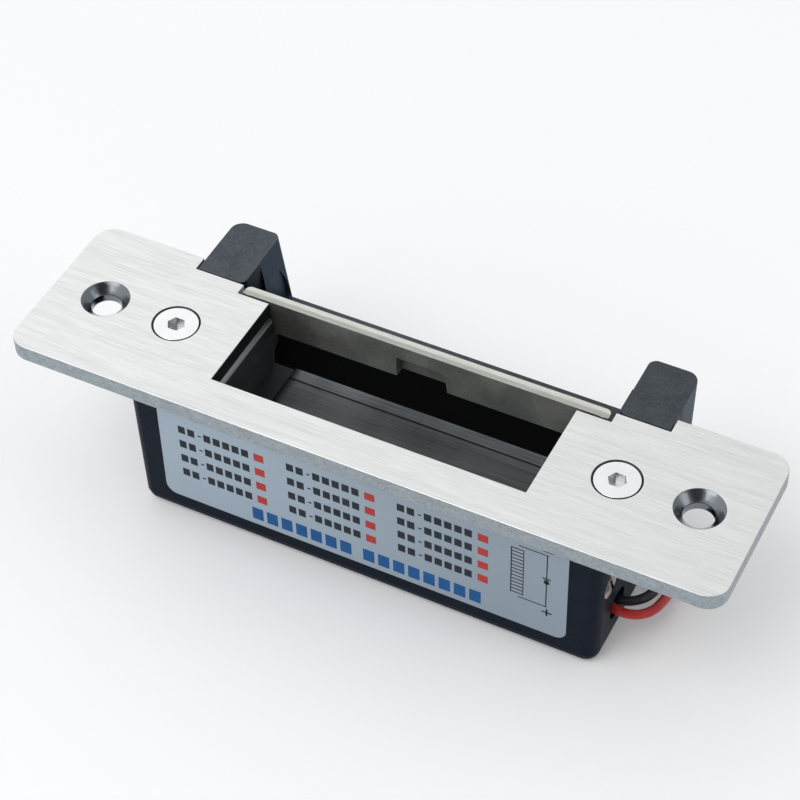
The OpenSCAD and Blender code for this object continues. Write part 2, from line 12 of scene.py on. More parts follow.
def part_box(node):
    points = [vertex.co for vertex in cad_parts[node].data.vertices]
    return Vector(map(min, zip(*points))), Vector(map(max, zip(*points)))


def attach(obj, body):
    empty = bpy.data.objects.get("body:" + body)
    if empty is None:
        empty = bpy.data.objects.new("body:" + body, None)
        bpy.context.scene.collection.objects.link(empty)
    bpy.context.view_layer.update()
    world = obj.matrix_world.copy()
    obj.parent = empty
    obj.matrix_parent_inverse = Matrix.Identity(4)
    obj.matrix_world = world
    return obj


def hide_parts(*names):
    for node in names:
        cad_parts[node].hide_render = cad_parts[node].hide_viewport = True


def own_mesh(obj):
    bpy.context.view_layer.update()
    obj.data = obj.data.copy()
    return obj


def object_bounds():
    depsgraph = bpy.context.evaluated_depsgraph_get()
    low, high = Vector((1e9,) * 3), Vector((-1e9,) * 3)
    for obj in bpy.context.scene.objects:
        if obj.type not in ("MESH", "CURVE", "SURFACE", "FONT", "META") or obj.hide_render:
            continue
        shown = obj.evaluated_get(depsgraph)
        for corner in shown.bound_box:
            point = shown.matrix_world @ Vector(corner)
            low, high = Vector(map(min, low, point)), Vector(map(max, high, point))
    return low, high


bl_info = {
    "name": "Electric door strike",
    "version": (1, 0, 0),
    "blender": (4, 5, 0),
    "location": "View3D > Sidebar > Strike",
    "description": "Builds the visible pieces of an electric door strike round its frame",
    "category": "Object",
}

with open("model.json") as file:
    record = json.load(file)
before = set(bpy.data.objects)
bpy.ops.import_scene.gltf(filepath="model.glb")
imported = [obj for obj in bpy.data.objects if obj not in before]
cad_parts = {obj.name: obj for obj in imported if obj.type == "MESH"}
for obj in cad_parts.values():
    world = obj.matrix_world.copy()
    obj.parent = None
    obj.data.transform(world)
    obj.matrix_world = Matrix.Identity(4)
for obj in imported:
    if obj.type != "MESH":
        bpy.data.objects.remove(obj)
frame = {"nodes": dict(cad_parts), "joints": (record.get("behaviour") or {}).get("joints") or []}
CAD_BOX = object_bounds()
NODES = frame["nodes"]
MM = 0.001

# places in millimetres, in the frame's own coordinates
SOLENOID_Y, SOLENOID_Z = -2.7, -23.2
HINGE_Y, HINGE_Z = 12.2, -12.2
POST_X, POST_Y, PIN_X = -22, 3.667, -23.3
HOLE_X, PLATE_SCREW_X = 52.4, 38.95
COUNTERSINK_R, SOCKET_R = 4.2, 1.75
OPENING_HALF, OPENING_BACK = 28, 10.6
POCKET_HALF, POCKET_FRONT, POCKET_LOW, POCKET_TOP = 33.3, -8.5, -16.5, -1
WALL_BACK, DEEP_FRONT, LEDGE_FRONT = 10.8, 10.4, 19.8
HORN_FRONT, HORN_LOW = 12.8, -13.5

# a crease is where two flat faces, each above this area, meet above this angle in radians
BROAD_AREA, CREASE_ANGLE = 12 * MM ** 2, 0.04
COIL_STEPS = 12


# ---- finishes ----


class Socket:
    """A value in a material's node tree that takes part in sums."""

    def __init__(self, finish, socket):
        self.finish, self.socket = finish, socket

    def __add__(self, other):
        return self.finish.maths("ADD", self, other)

    def __radd__(self, other):
        return self.finish.maths("ADD", other, self)

    def __sub__(self, other):
        return self.finish.maths("SUBTRACT", self, other)

    def __rsub__(self, other):
        return self.finish.maths("SUBTRACT", other, self)

    def __mul__(self, other):
        return self.finish.maths("MULTIPLY", self, other)

    def __rmul__(self, other):
        return self.finish.maths("MULTIPLY", other, self)


class Nodes:
    """A node tree, and the kinds of node that the finishes and the studio share."""

    def __init__(self, tree):
        self.tree = tree

    def put(self, socket, value):
        """Link or set one input."""
        if isinstance(value, Socket):
            self.tree.links.new(value.socket, socket)
        elif socket.type == "RGBA" and len(value) == 3:
            socket.default_value = (*value, 1)
        else:
            socket.default_value = value

    def node(self, kind, settings, values, output=0):
        """Add a node: its settings first, then the values or links of its inputs."""
        made = self.tree.nodes.new("ShaderNode" + kind)
        for name, value in settings.items():
            setattr(made, name, value)
        for name, value in values.items():
            self.put(made.inputs[name], value)
        return Socket(self, made.outputs[output])

    def maths(self, operation, *values):
        return self.node("Math", {"operation": operation}, dict(enumerate(values)))

    def dot(self, a, b):
        """Dot product of two vectors."""
        return self.node("VectorMath", {"operation": "DOT_PRODUCT"}, {0: a, 1: b}, "Value")

    def ramp(self, value, low, high, bottom=0.0, top=1.0):
        """Smooth step of a value from bottom at low to top at high."""
        return self.node("MapRange", {"interpolation_type": "SMOOTHSTEP"},
                         {"Value": value, "From Min": low, "From Max": high, "To Min": bottom, "To Max": top})

    def between(self, value, low, high, soft):
        """1 where a value lies between two limits, with soft edges."""
        return self.ramp(value, low - soft, low + soft) * self.ramp(value, high - soft, high + soft, 1.0, 0.0)

    def mix(self, factor, a, b):
        """Colour a where the factor is 0, b where it is 1."""
        return self.node("Mix", {"data_type": "RGBA"}, {0: factor, 6: a, 7: b}, 2)


class Finish(Nodes):
    """One procedural material: a shader with its constants, and the nodes that feed it."""

    def __init__(self, name, colour, roughness=0.5, metallic=0.0, **constants):
        self.material = bpy.data.materials.new(name)
        self.material.use_nodes = True
        self.material.diffuse_color = (*colour, 1)
        super().__init__(self.material.node_tree)
        self.shader = self.tree.nodes["Principled BSDF"]
        self.colour = tuple(colour)
        self.feed(Base_Color=colour, Roughness=roughness, Metallic=metallic, **constants)

    def feed(self, **values):
        """Link or set inputs of the shader; an underscore stands for a space."""
        for name, value in values.items():
            self.put(self.shader.inputs[name.replace("_", " ")], value)
        return self

    def place(self, scale=(1, 1, 1), shift=(0, 0, 0), turn=(0, 0, 0)):
        """Object coordinates in millimetres, then stretched, turned and moved."""
        spot = self.node("TexCoord", {}, {}, "Object")
        return self.node("Mapping", {}, {"Vector": spot, "Location": shift, "Rotation": turn,
                                         "Scale": [s / MM for s in scale]})

    def axes(self, place=None):
        """The three coordinates of a place, in millimetres."""
        place = place or self.place()
        return [self.node("SeparateXYZ", {}, {"Vector": place}, i) for i in range(3)]

    def facing(self):
        """The three parts of the surface's own direction."""
        return self.axes(self.node("TexCoord", {}, {}, "Normal"))

    def noise(self, scale, detail=3, roughness=0.5, stretch=(1, 1, 1), shift=(0, 0, 0)):
        """Cloudy noise, with so many features per millimetre."""
        return self.node("TexNoise", {}, {"Vector": self.place(stretch, shift), "Scale": scale,
                                          "Detail": detail, "Roughness": roughness})

    def shade(self, factor, dark, light):
        """The finish's own colour, times dark where the factor is 0 and light where it is 1."""
        tones = [tuple(min(1.0, c * tone) for c in self.colour) for tone in (dark, light)]
        return self.mix(factor, *tones)

    def bump(self, height, depth, strength=1.0):
        """Raise the surface by a height from 0 to 1, so many millimetres deep."""
        values = {"Strength": strength, "Distance": depth * MM, "Height": height}
        self.feed(Normal=self.node("Bump", {}, values))
        return self


def brushed(name, colour, roughness, stretch, contrast=0.05, depth=0.004, **constants):
    """Metal with fine grinding lines along the axis of least stretch."""
    made = Finish(name, colour, roughness, 1.0, **constants)
    fine = made.noise(1.0, 4, 0.6, stretch)
    broad = made.noise(0.35, 2, 0.5, stretch, (7, 3, 1))
    lines = fine * 0.65 + broad * 0.35
    made.feed(Base_Color=made.shade(made.ramp(lines, 0.3, 0.7), 1 - contrast, 1 + contrast),
              Roughness=made.ramp(lines, 0.3, 0.7, roughness + 0.06, roughness - 0.06))
    return made.bump(lines, depth)


def turned(name, colour, roughness, axis, centre, contrast=0.08):
    """Metal with fine rings round an axis through a centre given in millimetres."""
    made = Finish(name, colour, roughness, 1.0)
    spot = made.axes()
    across = [i for i in range(3) if i != "XYZ".index(axis)]
    offset = [spot[i] - centre[i] for i in across]
    radius = made.maths("SQRT", offset[0] * offset[0] + offset[1] * offset[1])
    rings = made.node("TexNoise", {"noise_dimensions": "1D"}, {"W": radius, "Scale": 9.0, "Detail": 3.0})
    made.feed(Base_Color=made.shade(made.ramp(rings, 0.3, 0.7), 1 - contrast, 1 + contrast))
    return made.bump(rings, 0.003)


def plain_metal(name, colour, roughness=0.35, metallic=1.0, grain=0.06):
    """Metal with a faint cloudy tone and fine grain."""
    made = Finish(name, colour, roughness, metallic)
    cloud = made.noise(0.35, 4, 0.6)
    grains = made.noise(7.0, 2, 0.5)
    made.feed(Base_Color=made.shade(made.ramp(cloud * 0.6 + grains * 0.4, 0.3, 0.7), 1 - grain, 1 + grain),
              Roughness=made.ramp(cloud, 0.3, 0.7, roughness - 0.05, roughness + 0.07))
    return made.bump(grains, 0.004)


def moulded(name, colour, roughness=0.45, grain=0.06, depth=0.006, **constants):
    """Plastic with a faint orange-peel surface."""
    made = Finish(name, colour, roughness, 0.0, **constants)
    peel = made.noise(3.0, 2, 0.5)
    cloud = made.noise(0.4, 3, 0.5)
    made.feed(Base_Color=made.shade(made.ramp(cloud, 0.3, 0.7), 1 - grain, 1 + grain),
              Roughness=made.ramp(peel, 0.3, 0.7, roughness - 0.04, roughness + 0.06))
    return made.bump(peel, depth)


# ---- shapes ----


def edge_middle(edge):
    """The middle of an edge, in millimetres."""
    return (edge.verts[0].co + edge.verts[1].co) / 2 / MM


def copy_of(node):
    """A CAD node's mesh, merged, with each flat face whole again."""
    bm = bmesh.new()
    bm.from_mesh(NODES[node].data)
    bmesh.ops.remove_doubles(bm, verts=bm.verts[:], dist=0.001 * MM)
    bmesh.ops.dissolve_limit(bm, angle_limit=radians(0.5), use_dissolve_boundaries=False,
                             verts=bm.verts[:], edges=bm.edges[:], delimit=set())
    return bm


def soften(bm, width, segments=2, angle=30, where=None):
    """Round the sharp edges, all of them or those whose middle passes a test, by a width in millimetres."""
    edges = [e for e in bm.edges if len(e.link_faces) == 2 and e.calc_face_angle(0) > radians(angle)
             and (where is None or where(edge_middle(e)))]
    bmesh.ops.bevel(bm, geom=edges, offset=width * MM, offset_type="OFFSET", segments=segments, profile=0.5,
                    affect="EDGES", clamp_overlap=True, material=-1)
    return bm


def box_in(bm, low, high, slot=0):
    """Add a box between two corners in millimetres."""
    low, high = Vector(low) * MM, Vector(high) * MM
    place = Matrix.Translation((low + high) / 2) @ Matrix.Diagonal((*(high - low), 1))
    made = bmesh.ops.create_cube(bm, size=1, matrix=place)["verts"]
    for face in {f for v in made for f in v.link_faces}:
        face.material_index = slot
    return made


def paint(bm, slot, where):
    """Give a material slot to the faces whose direction and middle in millimetres pass a test."""
    for face in bm.faces:
        if where(face.normal, face.calc_center_median() / MM):
            face.material_index = slot
    return bm


def in_pocket(spot, front, back):
    """True of a place inside the latch pocket, between a front and a back limit."""
    return abs(spot.x) < POCKET_HALF and front < spot.y < back and POCKET_LOW < spot.z < POCKET_TOP


def broad(edge):
    """True of an edge where two broad flat faces meet at an angle."""
    faces = edge.link_faces
    return (len(faces) == 2 and min(f.calc_area() for f in faces) > BROAD_AREA
            and edge.calc_face_angle(0) > CREASE_ANGLE)


def piece(bm, name, body, finishes, stands_for=None, angle=35):
    """Turn a bmesh into a piece that rides on a body, and may stand for a CAD node."""
    bm.normal_update()
    bm.edges.index_update()
    creases = [e.index for e in bm.edges if broad(e)]
    mesh = bpy.data.meshes.new(name)
    bm.to_mesh(mesh)
    bm.free()
    for finish in finishes:
        mesh.materials.append(finish.material)
    mesh.shade_smooth()
    mesh.set_sharp_from_angle(angle=radians(angle))
    for index in creases:
        mesh.edges[index].use_edge_sharp = True
    obj = bpy.data.objects.new(name, mesh)
    obj.modifiers.new("flat faces", "WEIGHTED_NORMAL").keep_sharp = True
    return placed(obj, body, stands_for)


def placed(obj, body, stands_for=None):
    """Link a piece, ride it on its body, and let it stand for a CAD node."""
    bpy.context.scene.collection.objects.link(obj)
    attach(obj, body)
    if stands_for:
        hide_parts(stands_for)
    return obj


def dress(node, finish):
    """Give a CAD node a better material."""
    for slot in NODES[node].material_slots:
        slot.material = finish.material


def wire(name, paths, diameter, finish):
    """A round wire along each path, given in millimetres."""
    curve = bpy.data.curves.new(name, "CURVE")
    curve.dimensions = "3D"
    curve.bevel_depth = diameter / 2 * MM
    curve.bevel_resolution = 5
    curve.resolution_u = 6
    curve.use_fill_caps = True
    for path in paths:
        spline = curve.splines.new("BEZIER")
        spline.bezier_points.add(len(path) - 1)
        for point, spot in zip(spline.bezier_points, path):
            point.co = Vector(spot) * MM
            point.handle_left_type = point.handle_right_type = "AUTO"
    curve.materials.append(finish.material)
    return bpy.data.objects.new(name, curve)


def coil(centre, radius, pitch, turns):
    """Points of a coil along +X round an axis through a centre, in millimetres."""
    angle = 2 * pi / COIL_STEPS
    return [(centre[0] + pitch * i / COIL_STEPS, centre[1] + radius * cos(angle * i),
             centre[2] + radius * sin(angle * i)) for i in range(turns * COIL_STEPS + 1)]


def frame_joint(name):
    """The frame's record of a joint."""
    return next(joint for joint in frame["joints"] if joint["name"] == name)


# ---- settings ----


def length(name, text, default, low, high):
    return FloatProperty(name=name, description=text, default=default * MM, min=low * MM, max=high * MM,
                         unit="LENGTH", precision=5)


def colour(name, text, *default):
    return FloatVectorProperty(name=name, description=text, default=default, min=0, max=1, subtype="COLOR")


class StrikeSizes(bpy.types.PropertyGroup):
    plate_edge: length("Plate edge", "Rounding of the faceplate's edges", 0.14, 0.05, 0.3)
    cast_edge: length("Casting edge", "Rounding of the casting's outer edges", 0.3, 0.05, 0.5)
    keeper_edge: length("Keeper edge", "Rounding of the keeper's edges", 0.16, 0.05, 0.3)
    screw_edge: length("Screw edge", "Rounding of the screws' edges", 0.08, 0.02, 0.15)
    lead: length("Lead", "Diameter of a lead's insulation", 1.6, 1.4, 1.8)
    ink: length("Ink", "Height of the print above the label", 0.012, 0.005, 0.03)


class StrikeColours(bpy.types.PropertyGroup):
    steel: colour("Steel", "Brushed face of the faceplate", 0.82, 0.82, 0.795)
    steel_edge: colour("Steel edge", "Sides of the faceplate", 0.345, 0.385, 0.41)
    polished: colour("Polished", "Countersinks", 0.185, 0.2, 0.212)
    seat: colour("Screw seats", "Shaded seats under the screw heads", 0.045, 0.048, 0.055)
    # painted highlight: the bright rounded upper edge of the pocket's end walls
    ridge_highlight: colour("Ridge", "Worn upper edge of the pocket's end walls", 0.36, 0.37, 0.37)
    screw: colour("Screws", "Faceplate screws", 0.94, 0.94, 0.93)
    casting: colour("Casting", "Satin coat of the casting", 0.003, 0.007, 0.0165)
    # painted light: the lit tone of the up-facing tops of the horns and of the ledge
    casting_face: colour("Casting face", "Ground faces of the horns and the ledge", 0.066, 0.076, 0.085)
    # painted light: the lighter coat of the horns' sloping ribs, which face the light
    casting_rib: colour("Casting ribs", "Coat on the horns' sloping ribs", 0.030, 0.049, 0.074)
    pocket: colour("Pocket", "Bare casting inside the latch pocket", 0.030, 0.031, 0.033)
    keeper: colour("Keeper", "Cast steel of the keeper", 0.33, 0.33, 0.31)
    ground: colour("Ground steel", "Ground top edge of the keeper", 0.66, 0.66, 0.60)
    wear: colour("Wear plate", "Brushed floor of the pocket", 0.112, 0.122, 0.125)
    label: colour("Label", "Foil of the label", 0.40, 0.49, 0.575)
    label_title: colour("Label title", "Title bars", 0.012, 0.09, 0.27)
    label_line: colour("Label lines", "Text bars and wiring sketch", 0.02, 0.025, 0.035)
    label_box: colour("Label boxes", "Tick boxes", 0.42, 0.045, 0.04)
    red: colour("Red lead", "Insulation of the red lead", 0.42, 0.018, 0.015)
    black: colour("Black lead", "Insulation of the black lead", 0.005, 0.006, 0.009)
    tin: colour("Tin", "Tinned wire ends", 0.66, 0.65, 0.62)
    zinc: colour("Zinc", "Zinc plated pieces", 0.58, 0.59, 0.60)
    copper: colour("Copper", "Winding wire", 0.62, 0.25, 0.11)
    tape: colour("Tape", "Film tape round the winding", 0.72, 0.53, 0.13)
    bobbin: colour("Bobbin", "Plastic of the coil's bobbin", 0.72, 0.70, 0.62)
    yellow_zinc: colour("Yellow zinc", "Lock lever", 0.62, 0.55, 0.36)
    black_steel: colour("Black steel", "Clip on the lever's post", 0.05, 0.05, 0.055)
    diode: colour("Diode", "Body of the diode", 0.02, 0.02, 0.022)
    joggle_shade: colour("Joggle", "Shaded step across the wear plate", 0.012, 0.012, 0.014)
    floor: colour("Floor", "Studio floor", 0.93, 0.93, 0.93)


# ---- operators ----


class StrikeOperator:
    """What the operators share."""

    bl_options = {"REGISTER", "UNDO"}

    def execute(self, context):
        self.build(context.scene, context.scene.strike_sizes, context.scene.strike_colours)
        return {"FINISHED"}


class STRIKE_OT_stage(StrikeOperator, bpy.types.Operator):
    """Make the camera, the floor and the studio light"""

    bl_idname = "strike.stage"
    bl_label = "Stage"

    LENS, SENSOR, CLIP = 106.337, 36, (0.01, 20)
    CAMERA_PLACE, CAMERA_TURN = (0.12153, -0.22542, 0.27001), (43.4334, 1.1207, 26.7718)
    FLOOR_SIZE, FLOOR_GAP = 4, 0.00002
    GAP = (0.46, -0.50, 0.73)
    # name, place, size and power of each softbox
    SOFTBOXES = (("key", (-0.25, -0.55, 0.85), (0.6, 0.6), 2.6), ("side", (0.95, 0.1, 0.45), (0.5, 0.5), 0.9))

    def build(self, scene, sizes, colours):
        lens = bpy.data.cameras.new("camera")
        lens.lens, lens.sensor_width = self.LENS, self.SENSOR
        lens.clip_start, lens.clip_end = self.CLIP
        camera = bpy.data.objects.new("camera", lens)
        camera.location = self.CAMERA_PLACE
        camera.rotation_euler = [radians(a) for a in self.CAMERA_TURN]
        scene.collection.objects.link(camera)
        scene.camera = camera

        bm = bmesh.new()
        bmesh.ops.create_grid(bm, x_segments=1, y_segments=1, size=self.FLOOR_SIZE,
                              matrix=Matrix.Translation((0, 0, CAD_BOX[0].z - self.FLOOR_GAP)))
        mesh = bpy.data.meshes.new("studio_floor")
        bm.to_mesh(mesh)
        bm.free()
        mesh.materials.append(Finish("floor_paint", colours.floor, 0.9, 0.0, Specular_IOR_Level=0.1,
                                     Emission_Color=colours.floor, Emission_Strength=0.09).material)
        floor = bpy.data.objects.new("studio_floor", mesh)
        scene.collection.objects.link(floor)

        scene.world = self.tent()
        scene.view_settings.view_transform = "Standard"
        for box in self.SOFTBOXES:
            self.softbox(scene, *box)

    def tent(self):
        """White cloth all round, brightest overhead and to the left, darker where the camera looks in."""
        world = bpy.data.worlds.new("studio")
        world.use_nodes = True
        sky = Nodes(world.node_tree)
        ray = sky.node("TexCoord", {}, {}, "Generated")
        height = sky.dot(ray, (0, 0, 1))
        gap = sky.ramp(sky.dot(ray, self.GAP), 0.82, 0.97)
        level = sky.ramp(height, -0.1, 0.9, 0.86, 0.98) * (1 - gap * 0.85)
        level = level * sky.ramp(sky.dot(ray, (1, 0, 0)), -0.7, 0.15, 1.2, 0.77)
        background = world.node_tree.nodes["Background"]
        sky.put(background.inputs["Strength"], level)
        sky.put(background.inputs["Color"], (0.96, 0.98, 1.0))
        return world

    def softbox(self, scene, name, place, size, power):
        lamp = bpy.data.lights.new(name, "AREA")
        lamp.shape, lamp.energy = "RECTANGLE", power
        lamp.size, lamp.size_y = size
        obj = bpy.data.objects.new(name, lamp)
        obj.location = place
        obj.rotation_euler = Vector(place).to_track_quat("Z", "Y").to_euler()
        scene.collection.objects.link(obj)


class STRIKE_OT_leads(StrikeOperator, bpy.types.Operator):
    """Make the two leads, their stripped ends and the tie round their spare length"""

    bl_idname = "strike.leads"
    bl_label = "Leads"

    RED = [(29, -4.5, -24.4), (33, -4.5, -24.4), (37, -4.5, -24.4), (41, -4.8, -24.4), (43, -5, -24.5),
           (44.8, -4.5, -24.7), (46.2, -3.3, -25.1), (47.1, -1.6, -25.6), (47.5, 0.6, -26.3), (47.6, 3.5, -27.4),
           (47.5, 6.8, -29), (47.2, 10, -30.4), (46.6, 13.4, -31.15), (45.4, 16.2, -31.2), (43.2, 18.4, -31.2),
           (40, 19.3, -31.2), (36, 19.3, -31.2), (31, 19, -31.2), (26, 18.8, -31.1), (22, 18.8, -31),
           (18.2, 18.8, -30.9)]
    BLACK = [(29, -2.6, -24.4), (33, -2.6, -24.4), (37, -2.6, -24.4), (41, -2.9, -24.4), (42.6, -2.8, -24.4),
             (44, -2, -24.5), (45.1, -0.7, -24.7), (45.7, 1, -25.1), (45.9, 3.2, -25.8), (45.8, 6.2, -27.2),
             (45.6, 9.4, -29), (45.3, 12.6, -30.1), (44.8, 15.8, -29.6), (43.8, 18.4, -29.4), (42, 20.6, -29.6),
             (39, 22, -30.6), (35, 22.4, -31.2), (31, 21.8, -31.2), (27, 21, -31.1), (23, 20.5, -31),
             (19.6, 20.4, -30.9)]
    RED_TAIL = [(17.8, 31.6, -29.4), (20, 31.6, -30), (23, 31.5, -30.8), (26, 31.2, -31.2), (30, 30.4, -31.2),
                (34, 29, -31.2)]
    BLACK_TAIL = [(19.4, 30, -29.1), (21.4, 29.9, -29.6), (24, 29.5, -30.6), (27, 28.8, -31.2), (31, 27.5, -31.2),
                  (35, 25.8, -31.2)]
    HANK_Y, HANK_HALF, LOW, HIGH = 25.2, 13, -30.9, -29.3
    # name, route, tail and turning radius of each lead
    RUNS = (("red", RED, RED_TAIL, 6.4), ("black", BLACK, BLACK_TAIL, 4.8))
    # points left off the last turn, where the tail takes over
    LEFT_OFF = 7
    CASTING_END = 41
    STRAND, STRANDS, STRAND_POINTS, STRAND_STEP, STRAND_IN, LAY, TWIST = 0.34, 6, 9, 0.75, 0.4, 0.33, 0.5
    TIE_HALF, TIE_REACH, TIE_LOW, TIE_TOP, TIE_ROUND, TIE_THICK = 1.25, 7.45, -32.0, -28.2, 0.9, 0.24

    def turn(self, radius, low, high):
        """One turn of the hank, from the front run's right end to the next one's, rising at the right end."""
        half, middle = self.HANK_HALF, self.HANK_Y
        steps = [i / 8 for i in range(9)]
        front = [(half - 2 * half * s, middle - radius, low) for s in (0, 0.2, 0.4, 0.6, 0.8)]
        left = [(-half - radius * sin(pi * s), middle - radius * cos(pi * s), low) for s in steps]
        back = [(2 * half * s - half, middle + radius, low) for s in (0.2, 0.4, 0.6, 0.8)]
        right = [(half + radius * sin(pi * s), middle + radius * cos(pi * s),
                  low + (high - low) * s * s * (3 - 2 * s)) for s in steps]
        return front + left + back + right[:-1]

    def build(self, scene, sizes, colours):
        thick = sizes.lead / MM
        for name, route, tail, radius in self.RUNS:
            last = self.turn(radius, self.HIGH, self.HIGH)[:-self.LEFT_OFF]
            path = route + self.turn(radius, self.LOW, self.HIGH) + last + tail
            skin = moulded(name + "_insulation", getattr(colours, name), 0.34, 0.12, 0.01,
                           Specular_IOR_Level=0.35)
            lead = placed(wire(name + "_lead", [path], thick, skin), "body", "lead_" + name)
            tip = self.tip(name + "_lead_end", path, colours)
            Vector(self.exit_of(path)) * MM
        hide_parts("lead_hank")
        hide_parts("lead_tips")
        self.tie(colours)

    def exit_of(self, path):
        """The point of a path where it passes the casting's end."""
        return next(point for point in path if point[0] >= self.CASTING_END)

    def tip(self, name, path, colours):
        """Twisted bare strands that carry on from the end of a path."""
        end = Vector(path[-1])
        ahead = (end - Vector(path[-2])).normalized()
        side = ahead.cross((0, 0, 1)).normalized()
        up = side.cross(ahead)
        middle = [end + ahead * (i * self.STRAND_STEP - self.STRAND_IN) for i in range(self.STRAND_POINTS)]
        strands = [middle]
        for k in range(self.STRANDS):
            angles = [k * 2 * pi / self.STRANDS + i * self.TWIST for i in range(self.STRAND_POINTS)]
            strands.append([spot + self.LAY * (side * cos(angle) + up * sin(angle))
                            for spot, angle in zip(middle, angles)])
        return placed(wire(name, strands, self.STRAND, plain_metal(name + "_tin", colours.tin, 0.3)), "body")

    def tie(self, colours):
        """Flat band round the hank."""
        bm = bmesh.new()
        box_in(bm, (-self.TIE_HALF, self.HANK_Y - self.TIE_REACH, self.TIE_LOW),
               (self.TIE_HALF, self.HANK_Y + self.TIE_REACH, self.TIE_TOP))
        bmesh.ops.delete(bm, geom=[f for f in bm.faces if abs(f.normal.x) > 0.9], context="FACES_ONLY")
        bmesh.ops.bevel(bm, geom=[e for e in bm.edges if len(e.link_faces) == 2],
                        offset=self.TIE_ROUND * MM, segments=5, profile=0.5, affect="EDGES", material=-1)
        bmesh.ops.recalc_face_normals(bm, faces=bm.faces[:])
        bmesh.ops.solidify(bm, geom=bm.faces[:], thickness=self.TIE_THICK * MM)
        soften(bm, 0.06, 1, 60)
        band = moulded("tie_plastic", colours.black, 0.4, 0.1)
        piece(bm, "lead_tie_band", "body", [band], "lead_tie")


class STRIKE_OT_faceplate(StrikeOperator, bpy.types.Operator):
    """Make the brushed faceplate"""

    bl_idname = "strike.faceplate"
    bl_label = "Faceplate"

    def build(self, scene, sizes, colours):
        bm = soften(copy_of("faceplate"), sizes.plate_edge / MM, 2, 40)
        face = brushed("plate_brushed", colours.steel, 0.36, (0.16, 5.0, 5.0), 0.1, 0.006)
        side = brushed("plate_side", colours.steel_edge, 0.5, (3.0, 3.4, 4.0), 0.17, 0.008)
        cone = plain_metal("countersink_polish", colours.polished, 0.2)
        # painted shade: the seats round the screw heads get a dark finish, which shows as a dark ring
        seat = plain_metal("screw_seat", colours.seat, 0.5)
        paint(bm, 1, lambda n, c: abs(n.z) < 0.6)
        for slot, x in ((2, HOLE_X), (3, PLATE_SCREW_X)):
            paint(bm, slot, lambda n, c: abs(n.z) < 0.95
                  and (abs(c.x) - x) ** 2 + c.y ** 2 < COUNTERSINK_R ** 2)
        # painted shade: the plate's end faces inside the opening get a dark finish
        shaded = moulded("opening_end", [c * 0.3 for c in colours.pocket], 0.5, 0.15, 0.006,
                         Specular_IOR_Level=0.2)
        paint(bm, 4, lambda n, c: abs(n.x) > 0.9 and abs(c.x) < OPENING_HALF and c.y < OPENING_BACK)
        piece(bm, "plate", "body", [face, side, cone, seat, shaded], "faceplate")


class STRIKE_OT_plate_screws(StrikeOperator, bpy.types.Operator):
    """Make the two countersunk screws of the faceplate"""

    bl_idname = "strike.plate_screws"
    bl_label = "Faceplate screws"

    def build(self, scene, sizes, colours):
        bm = soften(copy_of("faceplate_screws"), sizes.screw_edge / MM, 2, 35)
        head = plain_metal("screw_bright", colours.screw, 0.3)
        socket = plain_metal("screw_socket", colours.zinc, 0.3)
        paint(bm, 1, lambda n, c: c.z < -0.25 and (abs(c.x) - PLATE_SCREW_X) ** 2 + c.y ** 2 < SOCKET_R ** 2)
        piece(bm, "plate_screws", "body", [head, socket], "faceplate_screws")


